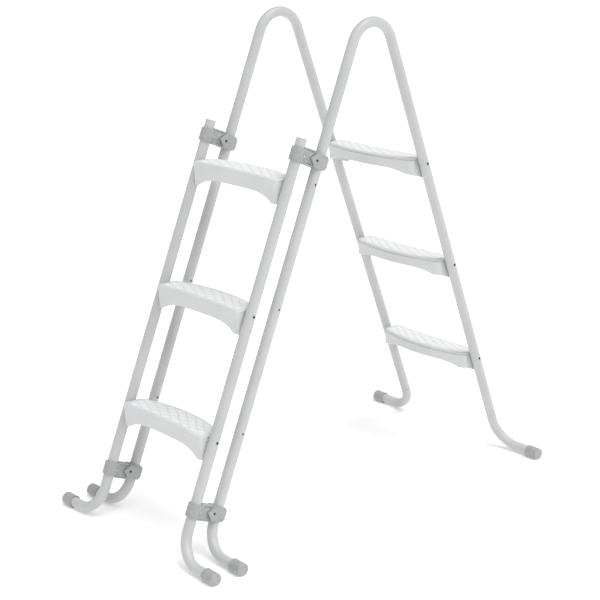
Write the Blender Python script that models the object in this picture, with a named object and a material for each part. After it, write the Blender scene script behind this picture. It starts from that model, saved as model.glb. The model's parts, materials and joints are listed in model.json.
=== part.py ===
"""A-frame pool ladder with a removable outer step section.

Two bent handrails straddle the pool wall.  The inner legs carry three steps; the outer
legs carry four docking brackets that hold a removable section of two tubes and three
steps.  Units are metres, +Z is up, X runs across the ladder, and the removable section
is on the -Y side.  The origin is on the floor, under the middle of the footprint.
"""
import math

import bmesh
import bpy
from mathutils import Vector

# ---- driving dimensions -------------------------------------------------------------
HOOP_TOP = 1.500            # height of the handrail's centre line at its top
HOOP_RADIUS = 0.0826        # centre-line radius of the top bend
HALF_SPACING = 0.2084       # from the middle of the ladder to each handrail's plane
OUTER_LEAN = math.radians(22.0)
INNER_LEAN = math.radians(21.5)
TUBE_RADIUS = 0.016
TUBE_WALL = 0.0015
FOOT_BEND_RADIUS = 0.088
FOOT_HEIGHT = 0.0185        # centre line of the foot tubes above the floor
REMOVABLE_OFFSET = 0.0886   # between the main outer leg and the removable tube
FOOT_REACH = {"outer": 0.381, "removable": 0.377, "inner": 0.391}

SCREW_HEIGHTS = {"bottom": 0.35, "middle": 0.70, "top": 1.05}
ROW_DROP = 0.002            # the removable tubes' screw rows are this much lower
TOP_LIFT = 0.012            # the top removable step hangs this much above its row
STEP_RISE = 0.016           # from a step's screws up to its tread
TUBE_GAP = 0.0005           # between a step's end and the tube
STEP_HALF_LENGTH = HALF_SPACING - TUBE_RADIUS - TUBE_GAP
STEP_USER_EDGE = 0.037      # tread edge ahead of the tube, at the step's ends
STEP_WALL_EDGE = 0.037      # tread edge behind the tube, at the step's ends
STEP_USER_BOW = 0.010       # both edges bow towards the pool wall in the middle
STEP_WALL_BOW = 0.033
STEP_CORNER_RUN = 0.019     # the corners are quarter ellipses in plan
STEP_CORNER_DEPTH = 0.010
STEP_EDGE_ROUND = 0.006     # rounding between tread and skirt
USER_SKIRT = (0.0475, 0.071)    # skirt height in the middle and at the ends
WALL_SKIRT = (0.037, 0.052)
ARCH_START = 0.060          # the skirt's lower edge is level up to here
ARCH_END = 0.168            # and is at its full depth from here on
STEP_WALL = 0.004
STEP_RIB = 0.003
STEP_BAYS = 4
END_BLOCK = 0.020           # solid end of a step, which takes the screw
SKIRT_DRAFT = 0.002

SCREW_RADIUS = 0.0027
SCREW_HOLE = 0.0031
TUBE_HOLE = 0.0034
SCREW_HEAD = 0.0038
SCREW_DOME = 0.0024
SCREW_BITE = 0.017          # how far a screw enters the step
HIDDEN_SCREW_REACH = 0.007  # how far the top step's screws enter the removable tube

CAP_RADIUS = 0.0198
CAP_LIP_RADIUS = 0.0205
CAP_LENGTH = 0.045
CAP_END = 0.003
CAP_ROUND = 0.003
CAP_LIP = (0.004, 0.006)    # the lip's full and first width, from the cap's open end
FIT_GAP = 0.0003

BRACKET_HEIGHTS = {"bottom": 0.134, "top": 1.200}   # along the leg from the floor
REMOVABLE_TOP = 1.2445      # end of the removable tube, along the leg
PLUG_HEAD = 0.0022
PLUG_CHAMFER = 0.0008
PLUG_DEPTH = 0.016
BORE = 0.0166               # bracket bores, with clearance round a tube
BOSS_RADIUS = 0.0215
BOSS_HALF_HEIGHT = 0.020
WEB_FRONT = 0.013
WEB_BACK = 0.011
WEB_CHAMFER = 0.0035
WEB_TIGHT_HEIGHT = 0.0265   # the web is taller on the side away from the loose one
WEB_LOOSE_HEIGHT = 0.0222
COLLAR_HALF_DEPTH = 0.0195
COLLAR_HALF_HEIGHT = 0.0222
COLLAR_BACK = 0.0205
COLLAR_CHAMFER = 0.008
NOSE_TIP = 0.0480           # point of the collar's nose, ahead of the main leg
NOSE_ROOT = 0.0262
NOSE_LIFT = 0.0008          # the point sits this much towards the pocket's tight side
POCKET_GAP = 0.0018         # between the nose and the sleeve's pocket
POCKET_WIDE_GAP = 0.0040    # the same on the pocket's looser side
COLLAR_SPLIT = 0.0002       # half of the gap between the collar's halves
COLLAR_BOLT_AT = 0.0225     # collar bolt ahead of the main leg
COUNTERBORE = 0.0045
COUNTERBORE_FLOOR = 0.0125
COLLAR_BOLT_RADIUS = 0.0020
COLLAR_BOLT_HOLE = 0.0024
COLLAR_BOLT_HEAD = 0.0041
COLLAR_BOLT_HEAD_HEIGHT = 0.0035
COLLAR_BOLT_TAIL = 0.0015   # how far the bolt stands out of its nut
NUT_FLATS = 0.0070
NUT_HEIGHT = 0.0032
NUT_POCKET_FLOOR = 0.0135
SLEEVE_SCREW_OFFSET = 0.0090    # sleeve screw beside the removable tube's axis
SLEEVE_SCREW_RADIUS = 0.0018
SLEEVE_SCREW_HOLE = 0.0022
SLEEVE_SCREW_HEAD = 0.0040
SLEEVE_SCREW_DOME = 0.0022
SLEEVE_SCREW_PAD = 0.0055
SLEEVE_SCREW_SEAT = 0.0213
SLEEVE_SCREW_END = 0.0095
TONGUE = (0.040, 0.0545)    # tongue on the collar, ahead of the main leg
TONGUE_HALF_HEIGHT = 0.004
TONGUE_SIDES = (-0.0070, -0.0010)
TONGUE_CLEARANCE = 0.0007

TUBE_SIDES = 16
BEND_STEPS = 5
HOOP_STEPS = 10
SMALL_SIDES = 10
OVERSHOOT = 0.010           # how far a cutter runs past what it cuts

SIDES = {"left": -1, "right": 1}
X_AXIS = Vector((1.0, 0.0, 0.0))


# ---- materials ----------------------------------------------------------------------
def make_material(name, colour, roughness, metallic=0.0):
    material = bpy.data.materials.new(name)
    material.use_nodes = True
    shader = material.node_tree.nodes["Principled BSDF"]
    shader.inputs["Base Color"].default_value = (*colour, 1.0)
    shader.inputs["Roughness"].default_value = roughness
    shader.inputs["Metallic"].default_value = metallic
    return material


def make_materials():
    return {
        "tube": make_material("powder_coated_steel", (0.60, 0.60, 0.60), 0.45),
        "step": make_material("white_step_plastic", (0.80, 0.80, 0.79), 0.50),
        "grey": make_material("grey_plastic", (0.38, 0.38, 0.39), 0.50),
        "screw": make_material("dark_screw_steel", (0.08, 0.08, 0.09), 0.40, 0.8),
        "bolt": make_material("zinc_plated_steel", (0.45, 0.45, 0.46), 0.35, 1.0),
    }


# ---- mesh helpers -------------------------------------------------------------------
def add_object(name, bm, material, parent=None):
    bmesh.ops.recalc_face_normals(bm, faces=bm.faces)
    mesh = bpy.data.meshes.new(name)
    bm.to_mesh(mesh)
    bm.free()
    mesh.shade_smooth()
    mesh.set_sharp_from_angle(angle=math.radians(35))
    if material:
        mesh.materials.append(material)
    return place_mesh(name, mesh, parent)


def place_mesh(name, mesh, parent=None):
    obj = bpy.data.objects.new(name, mesh)
    bpy.context.scene.collection.objects.link(obj)
    obj.parent = parent
    return obj


def cut(target, bm, name, operation="DIFFERENCE"):
    """Apply a Boolean by a guide object that the model itself leaves out."""
    guide = add_object(name, bm, None, target.parent)
    guide.location = target.location
    guide.rotation_euler = target.rotation_euler
    guide.hide_render = True
    guide.display_type = "WIRE"
    modifier = target.modifiers.new(name, "BOOLEAN")
    modifier.operation = operation
    modifier.solver = "EXACT"
    modifier.object = guide


def ring_loft(bm, rings):
    """Skin a list of vertex rings with quads."""
    for first, second in zip(rings, rings[1:]):
        count = len(first)
        for i in range(count):
            j = (i + 1) % count
            bm.faces.new((first[i], first[j], second[j], second[i]))


def solid_loft(bm, outlines):
    """A closed solid through several outlines with the same number of points."""
    rings = [[bm.verts.new(point) for point in outline] for outline in outlines]
    ring_loft(bm, rings)
    bm.faces.new(rings[0])
    bm.faces.new(rings[-1])


def prism(bm, outline, x_low, x_high):
    """Extrude an outline of (y, z) points along X."""
    solid_loft(bm, [[(x, y, z) for y, z in outline] for x in (x_low, x_high)])


def box(bm, low, high):
    outline = [(low[1], low[2]), (high[1], low[2]), (high[1], high[2]), (low[1], high[2])]
    prism(bm, outline, low[0], high[0])


def disc_points(centre, across, up, radius, sides):
    turn = 2 * math.pi / sides
    return [centre + radius * (math.cos((i + 0.5) * turn) * across
                               + math.sin((i + 0.5) * turn) * up) for i in range(sides)]


def turned(bm, start, axis, profile, sides):
    """A closed solid of revolution: profile holds (distance along axis, radius)."""
    across = axis.orthogonal().normalized()
    up = axis.cross(across)
    solid_loft(bm, [disc_points(start + axis * along, across, up, radius, sides)
                    for along, radius in profile])


def rod(bm, start, axis, length, radius, sides=SMALL_SIDES):
    turned(bm, start, axis, [(0.0, radius), (length, radius)], sides)


def dome_profile(seat, height, radius, steps=3):
    """Profile points of a domed head that starts at its seat."""
    points = []
    for i in range(steps + 1):
        angle = math.radians(75) * i / steps
        points.append((seat + height * math.sin(angle), radius * math.cos(angle)))
    return points


# ---- leg geometry -------------------------------------------------------------------
class Leg:
    """Centre line of one leg: its foot point on the floor and its directions."""

    def __init__(self, side, kind):
        self.side = SIDES[side]
        self.kind = kind
        self.lean = INNER_LEAN if kind == "inner" else OUTER_LEAN
        outward = 1 if kind == "inner" else -1
        self.up = Vector((0, -outward * math.sin(self.lean), math.cos(self.lean)))
        self.out = Vector((0, outward * math.cos(self.lean), math.sin(self.lean)))
        hoop_centre = Vector((self.side * HALF_SPACING, 0, HOOP_TOP - HOOP_RADIUS))
        self.tangent = hoop_centre + self.out * HOOP_RADIUS
        self.foot = self.tangent - self.up * (self.tangent.z / math.cos(self.lean))
        if kind == "removable":
            self.foot += self.out * REMOVABLE_OFFSET

    def along(self, distance):
        return self.foot + self.up * distance

    def at_height(self, height):
        return self.along((height - self.foot.z) / math.cos(self.lean))

    def foot_path(self):
        """(point, direction) pairs from the capped end up to the start of the leg."""
        sideways = X_AXIS * self.side
        start = self.at_height(FOOT_HEIGHT + FOOT_BEND_RADIUS * math.cos(self.lean))
        centre = start + sideways * FOOT_BEND_RADIUS
        end_x = FOOT_REACH[self.kind] - CAP_END - FIT_GAP
        path = []
        for i in range(BEND_STEPS + 1):
            angle = math.pi / 2 * (1 - i / BEND_STEPS)
            point = centre - FOOT_BEND_RADIUS * (sideways * math.cos(angle)
                                                 + self.up * math.sin(angle))
            path.append((point, self.up * math.cos(angle) - sideways * math.sin(angle)))
        end = path[0][0].copy()
        end.x = self.side * end_x
        return [(end, -sideways)] + path


def hoop_path(side):
    """(point, direction) pairs over the top bend, from the outer to the inner leg."""
    outer, inner = Leg(side, "outer"), Leg(side, "inner")
    centre = outer.tangent - outer.out * HOOP_RADIUS
    first = math.pi - OUTER_LEAN
    last = INNER_LEAN
    path = []
    for i in range(HOOP_STEPS + 1):
        angle = first + (last - first) * i / HOOP_STEPS
        spoke = Vector((0, math.cos(angle), math.sin(angle)))
        path.append((centre + spoke * HOOP_RADIUS, Vector((0, spoke.z, -spoke.y))))
    return path


def tube_rings(bm, path, radius):
    """Rings of vertices round a path, carried along it without twist."""
    across = path[0][1].orthogonal().normalized()
    previous = path[0][1]
    rings = []
    for point, direction in path:
        across = previous.rotation_difference(direction) @ across
        previous = direction
        up = direction.cross(across)
        points = disc_points(point, across, up, radius, TUBE_SIDES)
        rings.append([bm.verts.new(p) for p in points])
    return rings


def open_tube(path):
    """A hollow tube, open at both ends."""
    bm = bmesh.new()
    outer = tube_rings(bm, path, TUBE_RADIUS)
    inner = tube_rings(bm, path, TUBE_RADIUS - TUBE_WALL)
    ring_loft(bm, outer)
    ring_loft(bm, inner)
    for end in (0, -1):
        ring_loft(bm, [outer[end], inner[end]])
    return bm


def screw_height(kind, level):
    """Height of a step's screws, which the main outer legs' spare holes share."""
    if kind != "removable":
        return SCREW_HEIGHTS[level]
    lift = TOP_LIFT if level == "top" else 0.0
    return SCREW_HEIGHTS[level] - ROW_DROP + lift


# ---- tubes --------------------------------------------------------------------------
def make_handrail(side, material, parent):
    outer, inner = Leg(side, "outer"), Leg(side, "inner")
    rising = outer.foot_path()
    falling = [(point, -direction) for point, direction in reversed(inner.foot_path())]
    rail = add_object(f"handrail_{side}", open_tube(rising + hoop_path(side) + falling),
                      material, parent)
    holes = bmesh.new()
    for leg in (outer, inner):
        for height in SCREW_HEIGHTS.values():
            centre = leg.at_height(height)
            reach = TUBE_RADIUS + OVERSHOOT
            rod(holes, centre - X_AXIS * reach, X_AXIS, 2 * reach, TUBE_HOLE)
    cut(rail, holes, f"handrail_{side}_holes")


def make_removable_tube(side, materials, parent):
    leg = Leg(side, "removable")
    path = leg.foot_path() + [(leg.along(REMOVABLE_TOP), leg.up)]
    tube = add_object(f"removable_tube_{side}", open_tube(path), materials["tube"], parent)
    holes = bmesh.new()
    reach = TUBE_RADIUS + OVERSHOOT
    for level in ("bottom", "middle"):
        rod(holes, leg.at_height(screw_height("removable", level)) - X_AXIS * reach, X_AXIS,
            2 * reach, TUBE_HOLE)
    inboard = -X_AXIS * leg.side
    rod(holes, leg.at_height(screw_height("removable", "top")), inboard, reach, TUBE_HOLE)
    for distance in BRACKET_HEIGHTS.values():
        at = leg.along(distance) - leg.out * SLEEVE_SCREW_OFFSET
        rod(holes, at, X_AXIS, reach, SLEEVE_SCREW_HOLE)
    cut(tube, holes, f"removable_tube_{side}_holes")
    make_plug(side, leg, materials["tube"], parent)


def make_plug(side, leg, material, parent):
    """Push-in plug that closes the top of a removable tube."""
    bm = bmesh.new()
    stub = TUBE_RADIUS - TUBE_WALL - 2 * FIT_GAP
    profile = [(-PLUG_DEPTH, stub), (FIT_GAP, stub), (FIT_GAP, TUBE_RADIUS),
               (PLUG_HEAD - PLUG_CHAMFER, TUBE_RADIUS),
               (PLUG_HEAD, TUBE_RADIUS - PLUG_CHAMFER)]
    turned(bm, leg.along(REMOVABLE_TOP), leg.up, profile, TUBE_SIDES)
    add_object(f"tube_plug_{side}", bm, material, parent)


def make_foot_cap(side, kind, material, parent):
    """Cup over the foot end of a tube, with a flat underside on the floor."""
    leg = Leg(side, kind)
    end = leg.foot_path()[0][0]
    inward = -X_AXIS * leg.side
    start = Vector((leg.side * FOOT_REACH[kind], end.y, end.z))
    outer = [(0.0, CAP_RADIUS - CAP_ROUND), (0.3 * CAP_ROUND, CAP_RADIUS - 0.3 * CAP_ROUND),
             (CAP_ROUND, CAP_RADIUS), (CAP_LENGTH - CAP_LIP[1], CAP_RADIUS),
             (CAP_LENGTH - CAP_LIP[0], CAP_LIP_RADIUS), (CAP_LENGTH, CAP_LIP_RADIUS)]
    inner = [(CAP_LENGTH, BORE), (CAP_END, BORE)]
    across = Vector((0, 1, 0))
    up = Vector((0, 0, 1))
    bm = bmesh.new()
    rings = []
    for along, radius in outer + inner:
        points = disc_points(start + inward * along, across, up, radius, TUBE_SIDES)
        rings.append([bm.verts.new((p.x, p.y, max(p.z, 0.0))) for p in points])
    ring_loft(bm, rings)
    bm.faces.new(rings[0])
    bm.faces.new(rings[-1])
    add_object(f"foot_cap_{kind}_{side}", bm, material, parent)


# ---- steps --------------------------------------------------------------------------
def bow(x):
    return 1 - (x / STEP_HALF_LENGTH) ** 2


def corner_inset(x):
    """How far a corner pulls the step's edges in at one station."""
    share = max(abs(x) - STEP_HALF_LENGTH + STEP_CORNER_RUN, 0.0) / STEP_CORNER_RUN
    return STEP_CORNER_DEPTH * (1 - math.sqrt(max(1 - share ** 2, 0.0)))


def skirt_depth(x, depths):
    """Depth of a skirt below the tread: an arch that drops to the end blocks."""
    middle, ends = depths
    t = min(max((abs(x) - ARCH_START) / (ARCH_END - ARCH_START), 0.0), 1.0)
    return middle + (ends - middle) * t ** 3


def step_section(x, inset=0.0, floor=0.0):
    """Outline of the step across its tread at one station, user side at -Y.

    With an inset it is the outline of the hollow under the tread."""
    trim = corner_inset(x)
    user = -STEP_USER_EDGE + STEP_USER_BOW * bow(x) + trim + inset
    wall = STEP_WALL_EDGE + STEP_WALL_BOW * bow(x) - trim - inset
    top = -inset
    soft = STEP_EDGE_ROUND * 0.3
    user_low = -skirt_depth(x, USER_SKIRT) - floor
    wall_low = -skirt_depth(x, WALL_SKIRT) - floor
    return [(x, user + SKIRT_DRAFT, user_low),
            (x, user, top - STEP_EDGE_ROUND),
            (x, user + soft, top - soft),
            (x, user + STEP_EDGE_ROUND, top),
            (x, wall - STEP_EDGE_ROUND, top),
            (x, wall - soft, top - soft),
            (x, wall, top - STEP_EDGE_ROUND),
            (x, wall - SKIRT_DRAFT, wall_low)]


def step_stations():
    """Stations along a step, close together where its outline turns."""
    half = STEP_HALF_LENGTH
    near_end = [half - STEP_CORNER_RUN * (1 - math.cos(math.radians(turn)))
                for turn in (0, 30, 60, 90)]
    arch = [0.157, 0.142, 0.120, 0.090, ARCH_START]
    one_side = near_end + arch
    return [-x for x in one_side] + [0.0] + list(reversed(one_side))


def step_mesh(material):
    """The shared mesh of all six steps, built at the screw line of its tube."""
    shell = bmesh.new()
    solid_loft(shell, [step_section(x) for x in step_stations()])
    step = add_object("step_pattern", shell, material)
    hollow = bmesh.new()
    reach = STEP_HALF_LENGTH - END_BLOCK
    bay = (2 * reach - (STEP_BAYS - 1) * STEP_RIB) / STEP_BAYS
    for i in range(STEP_BAYS):
        low = -reach + i * (bay + STEP_RIB)
        stations = [low + bay * k / 3 for k in range(4)]
        solid_loft(hollow, [step_section(x, STEP_WALL, OVERSHOOT) for x in stations])
    cut(step, hollow, "step_hollows")
    holes = bmesh.new()
    for sign in (-1, 1):
        start = Vector((sign * (STEP_HALF_LENGTH + OVERSHOOT), 0, -STEP_RISE))
        rod(holes, start, -X_AXIS * sign, END_BLOCK + 2 * OVERSHOOT, SCREW_HOLE)
    cut(step, holes, "step_screw_holes")
    evaluated = step.evaluated_get(bpy.context.evaluated_depsgraph_get())
    mesh = bpy.data.meshes.new_from_object(evaluated)
    for name in ("step_pattern", "step_hollows", "step_screw_holes"):
        bpy.data.objects.remove(bpy.data.objects[name], do_unlink=True)
    return mesh


def make_step(mesh, kind, level, parent):
    """Hang one step between the two tubes of its kind."""
    family = "inner" if kind == "inner" else "outer"
    obj = place_mesh(f"step_{family}_{level}", mesh, parent)
    axis = Leg("right", kind).at_height(screw_height(kind, level))
    obj.location = (0, axis.y, axis.z + STEP_RISE)
    if kind == "inner":
        obj.rotation_euler.z = math.pi


def make_step_screw(side, kind, level, material, parent):
    """Domed screw through the tube into the step's end block."""
    leg = Leg(side, kind)
    centre = leg.at_height(screw_height(kind, level))
    outboard = X_AXIS * leg.side
    seat = TUBE_RADIUS + FIT_GAP
    tip = -(TUBE_RADIUS + TUBE_GAP + SCREW_BITE)
    if kind == "removable" and level == "top":
        outboard = -outboard
        seat = TUBE_RADIUS + TUBE_GAP + END_BLOCK + FIT_GAP
        tip = HIDDEN_SCREW_REACH
    profile = [(tip, SCREW_RADIUS), (seat, SCREW_RADIUS)]
    profile += dome_profile(seat, SCREW_DOME, SCREW_HEAD)
    bm = bmesh.new()
    turned(bm, centre, outboard, profile, SMALL_SIDES)
    family = "inner" if kind == "inner" else "outer"
    add_object(f"step_screw_{family}_{level}_{side}", bm, material, parent)


# ---- docking brackets ---------------------------------------------------------------
# A bracket is modelled about the main leg's axis, with +Z up the leg, -Y towards the
# removable tube, and +X the face that carries the screw heads.  The loose side of the
# pocket faces the ladder's middle: down on the top brackets, up on the bottom ones.
def at_bracket(obj, side, level):
    leg = Leg(side, "outer")
    obj.location = leg.along(BRACKET_HEIGHTS[level])
    obj.rotation_euler.x = -leg.lean


def loose_side(level):
    return -1 if level == "top" else 1


def pocket_outline(level):
    """(y, z) outline of the sleeve's web, with its arrow-shaped pocket."""
    loose = loose_side(level)
    mouth = -(NOSE_ROOT + POCKET_GAP)
    far = -REMOVABLE_OFFSET
    shoulder = far + BORE
    tight_arm = [(far, -loose * BOSS_HALF_HEIGHT), (shoulder, -loose * WEB_TIGHT_HEIGHT),
                 (mouth - WEB_CHAMFER, -loose * WEB_TIGHT_HEIGHT),
                 (mouth, -loose * (WEB_TIGHT_HEIGHT - WEB_CHAMFER))]
    apex = [(-(NOSE_TIP + POCKET_GAP), 0.0)]
    loose_arm = [(mouth, loose * (WEB_LOOSE_HEIGHT - WEB_CHAMFER)),
                 (mouth - WEB_CHAMFER, loose * WEB_LOOSE_HEIGHT),
                 (shoulder, loose * WEB_LOOSE_HEIGHT), (far, loose * BOSS_HALF_HEIGHT)]
    return tight_arm + apex + loose_arm


def make_sleeve(side, level, material, parent):
    """Sleeve on the removable tube, with a web that takes the collar's nose."""
    name = f"bracket_sleeve_{level}_{side}"
    axis = Vector((0, -REMOVABLE_OFFSET, 0))
    up = Vector((0, 0, 1))
    web = bmesh.new()
    prism(web, pocket_outline(level), -WEB_BACK, WEB_FRONT)
    sleeve = add_object(name, web, material, parent)
    at_bracket(sleeve, side, level)
    boss = bmesh.new()
    rod(boss, axis - up * BOSS_HALF_HEIGHT, up, 2 * BOSS_HALF_HEIGHT, BOSS_RADIUS, TUBE_SIDES)
    cut(sleeve, boss, name + "_boss", "UNION")
    pad = bmesh.new()
    screw_at = axis + Vector((0, SLEEVE_SCREW_OFFSET, 0))
    rod(pad, screw_at, X_AXIS, SLEEVE_SCREW_SEAT, SLEEVE_SCREW_PAD)
    cut(sleeve, pad, name + "_pad", "UNION")
    holes = bmesh.new()
    reach = WEB_TIGHT_HEIGHT + OVERSHOOT
    rod(holes, axis - up * reach, up, 2 * reach, BORE, TUBE_SIDES)
    cut(sleeve, holes, name + "_bore")
    screw_hole = bmesh.new()
    rod(screw_hole, screw_at + X_AXIS * SLEEVE_SCREW_END, X_AXIS,
        SLEEVE_SCREW_SEAT, SLEEVE_SCREW_HOLE)
    cut(sleeve, screw_hole, name + "_screw_hole")
    groove = bmesh.new()
    clear = TONGUE_CLEARANCE
    box(groove, (TONGUE_SIDES[0] - clear, -TONGUE[1] - clear, -TONGUE_HALF_HEIGHT - clear),
        (TONGUE_SIDES[1] + clear, -TONGUE[0], TONGUE_HALF_HEIGHT + clear))
    cut(sleeve, groove, name + "_groove")


def make_sleeve_screw(side, level, material, parent):
    bm = bmesh.new()
    start = Vector((0, -REMOVABLE_OFFSET + SLEEVE_SCREW_OFFSET, 0))
    seat = SLEEVE_SCREW_SEAT + FIT_GAP
    profile = [(SLEEVE_SCREW_END, SLEEVE_SCREW_RADIUS), (seat, SLEEVE_SCREW_RADIUS)]
    profile += dome_profile(seat, SLEEVE_SCREW_DOME, SLEEVE_SCREW_HEAD)
    turned(bm, start, X_AXIS, profile, SMALL_SIDES)
    screw = add_object(f"sleeve_screw_{level}_{side}", bm, material, parent)
    at_bracket(screw, side, level)


def collar_outline(level):
    """(y, z) outline of the collar: chamfered behind the leg, a nose ahead of it."""
    loose = loose_side(level)
    high = COLLAR_HALF_HEIGHT
    slack = POCKET_WIDE_GAP - POCKET_GAP
    return [(-NOSE_TIP, -loose * NOSE_LIFT),
            (-NOSE_ROOT, -loose * high),
            (COLLAR_BACK - COLLAR_CHAMFER, -loose * high),
            (COLLAR_BACK, -loose * (high - COLLAR_CHAMFER)),
            (COLLAR_BACK, loose * (high - COLLAR_CHAMFER)),
            (COLLAR_BACK - COLLAR_CHAMFER, loose * high),
            (-NOSE_ROOT + slack, loose * high)]


def hexagon(centre, half_flats):
    """Corners of a hexagon across the bolt's line."""
    corner = half_flats / math.cos(math.pi / 6)
    return disc_points(centre, Vector((0, 1, 0)), Vector((0, 0, 1)), corner, 6)


def make_collar_half(side, level, face, material, parent):
    """One half of the split collar; face is +1 for the half that carries the bolt head."""
    name = f"collar_{'front' if face > 0 else 'back'}_{level}_{side}"
    bm = bmesh.new()
    low, high = sorted((face * COLLAR_SPLIT, face * COLLAR_HALF_DEPTH))
    prism(bm, collar_outline(level), low, high)
    collar = add_object(name, bm, material, parent)
    at_bracket(collar, side, level)
    up = Vector((0, 0, 1))
    reach = COLLAR_HALF_HEIGHT + OVERSHOOT
    bore = bmesh.new()
    rod(bore, -up * reach, up, 2 * reach, BORE, TUBE_SIDES)
    cut(collar, bore, name + "_bore")
    bolt_line = Vector((0, -COLLAR_BOLT_AT, 0))
    hole = bmesh.new()
    if face > 0:
        turned(hole, bolt_line, X_AXIS,
               [(-OVERSHOOT, COLLAR_BOLT_HOLE), (COUNTERBORE_FLOOR, COLLAR_BOLT_HOLE),
                (COUNTERBORE_FLOOR, COUNTERBORE),
                (COLLAR_HALF_DEPTH + OVERSHOOT, COUNTERBORE)], SMALL_SIDES + 4)
    else:
        pocket = NUT_FLATS / 2 + FIT_GAP
        rod(hole, bolt_line, -X_AXIS, NUT_POCKET_FLOOR + NUT_HEIGHT, COLLAR_BOLT_HOLE)
        nut_pocket = bmesh.new()
        solid_loft(nut_pocket, [hexagon(bolt_line - X_AXIS * depth, pocket)
                                for depth in (NUT_POCKET_FLOOR, COLLAR_HALF_DEPTH + OVERSHOOT)])
        cut(collar, nut_pocket, name + "_nut_pocket")
        tongue = bmesh.new()
        box(tongue, (TONGUE_SIDES[0], -TONGUE[1], -TONGUE_HALF_HEIGHT),
            (TONGUE_SIDES[1], -TONGUE[0], TONGUE_HALF_HEIGHT))
        cut(collar, tongue, name + "_tongue", "UNION")
    cut(collar, hole, name + "_bolt_hole")


def make_collar_bolt(side, level, materials, parent):
    """Bolt at the bottom of the counterbore, and its nut on the back of the collar."""
    line = Vector((0, -COLLAR_BOLT_AT, 0))
    seat = COUNTERBORE_FLOOR + FIT_GAP
    tip = -(NUT_POCKET_FLOOR + NUT_HEIGHT + COLLAR_BOLT_TAIL)
    bm = bmesh.new()
    profile = [(tip, COLLAR_BOLT_RADIUS), (seat, COLLAR_BOLT_RADIUS),
               (seat, COLLAR_BOLT_HEAD), (seat + COLLAR_BOLT_HEAD_HEIGHT, COLLAR_BOLT_HEAD)]
    turned(bm, line, X_AXIS, profile, SMALL_SIDES)
    bolt = add_object(f"collar_bolt_{level}_{side}", bm, materials["screw"], parent)
    at_bracket(bolt, side, level)
    nut = bmesh.new()
    start = line - X_AXIS * (NUT_POCKET_FLOOR + FIT_GAP)
    outline = [(0, NUT_FLATS / 2), (NUT_HEIGHT, NUT_FLATS / 2),
               (NUT_HEIGHT, COLLAR_BOLT_HOLE), (0, COLLAR_BOLT_HOLE)]
    rings = [[nut.verts.new(p) for p in hexagon(start - X_AXIS * along, half_flats)]
             for along, half_flats in outline]
    ring_loft(nut, rings + [rings[0]])
    hexagon_nut = add_object(f"collar_nut_{level}_{side}", nut, materials["bolt"], parent)
    at_bracket(hexagon_nut, side, level)


# ---- assembly -----------------------------------------------------------------------
def footprint_middle():
    """Y of the middle of the ladder's footprint, measured from the hoop's apex."""
    removable = Leg("right", "removable").foot_path()[0][0].y
    inner = Leg("right", "inner").foot_path()[0][0].y
    return (removable + inner) / 2


def clear_scene():
    for obj in list(bpy.data.objects):
        bpy.data.objects.remove(obj, do_unlink=True)


def add_empty(name, location):
    empty = bpy.data.objects.new(name, None)
    bpy.context.scene.collection.objects.link(empty)
    empty.location = location
    return empty


def main():
    clear_scene()
    materials = make_materials()
    frame = add_empty("ladder_frame", (0, -footprint_middle(), 0))
    section = add_empty("removable_section", (0, -footprint_middle(), 0))
    parents = {"inner": frame, "outer": frame, "removable": section}
    mesh = step_mesh(materials["step"])
    for side in SIDES:
        make_handrail(side, materials["tube"], frame)
        make_removable_tube(side, materials, section)
        for kind in FOOT_REACH:
            make_foot_cap(side, kind, materials["grey"], parents[kind])
        for kind in ("inner", "removable"):
            for level in SCREW_HEIGHTS:
                make_step_screw(side, kind, level, materials["screw"], parents[kind])
        for level in BRACKET_HEIGHTS:
            make_sleeve(side, level, materials["grey"], section)
            make_sleeve_screw(side, level, materials["bolt"], section)
            make_collar_half(side, level, 1, materials["grey"], frame)
            make_collar_half(side, level, -1, materials["grey"], frame)
            make_collar_bolt(side, level, materials, frame)
    for kind in ("inner", "removable"):
        for level in SCREW_HEIGHTS:
            make_step(mesh, kind, level, parents[kind])


main()
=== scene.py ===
"""The looks of the A-frame pool ladder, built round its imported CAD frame.

Every CAD node is replaced by a finer piece in the same place: smooth coated tubes with
drilled holes, moulded steps with grooved treads, bevelled docking brackets and real
fasteners.  Units are metres and +Z is up.  The removable section is on the -Y side.
"""
import json
import math

import bmesh
import bpy
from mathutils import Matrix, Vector

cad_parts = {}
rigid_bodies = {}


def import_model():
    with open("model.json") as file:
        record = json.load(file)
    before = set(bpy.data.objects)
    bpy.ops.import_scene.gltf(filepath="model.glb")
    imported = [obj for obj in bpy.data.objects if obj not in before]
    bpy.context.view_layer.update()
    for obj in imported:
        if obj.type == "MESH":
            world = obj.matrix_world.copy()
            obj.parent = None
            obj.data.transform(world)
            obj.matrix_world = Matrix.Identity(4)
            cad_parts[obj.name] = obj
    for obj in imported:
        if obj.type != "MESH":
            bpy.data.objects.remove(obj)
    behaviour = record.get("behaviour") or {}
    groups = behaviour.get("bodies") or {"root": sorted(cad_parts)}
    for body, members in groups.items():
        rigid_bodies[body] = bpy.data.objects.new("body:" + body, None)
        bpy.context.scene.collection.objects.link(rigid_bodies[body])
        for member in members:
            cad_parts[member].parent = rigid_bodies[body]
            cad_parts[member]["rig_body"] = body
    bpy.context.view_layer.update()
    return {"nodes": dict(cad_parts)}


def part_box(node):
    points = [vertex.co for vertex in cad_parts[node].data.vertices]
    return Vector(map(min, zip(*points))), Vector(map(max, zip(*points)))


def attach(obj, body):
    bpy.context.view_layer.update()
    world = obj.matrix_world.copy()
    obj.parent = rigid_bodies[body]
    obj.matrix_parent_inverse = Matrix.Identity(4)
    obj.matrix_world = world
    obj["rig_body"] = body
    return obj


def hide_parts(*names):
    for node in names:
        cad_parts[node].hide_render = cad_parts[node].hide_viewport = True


# ---- the ladder's driving dimensions ------------------------------------------------
HOOP_TOP = 1.500            # height of the handrail's centre line at its top
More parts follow.
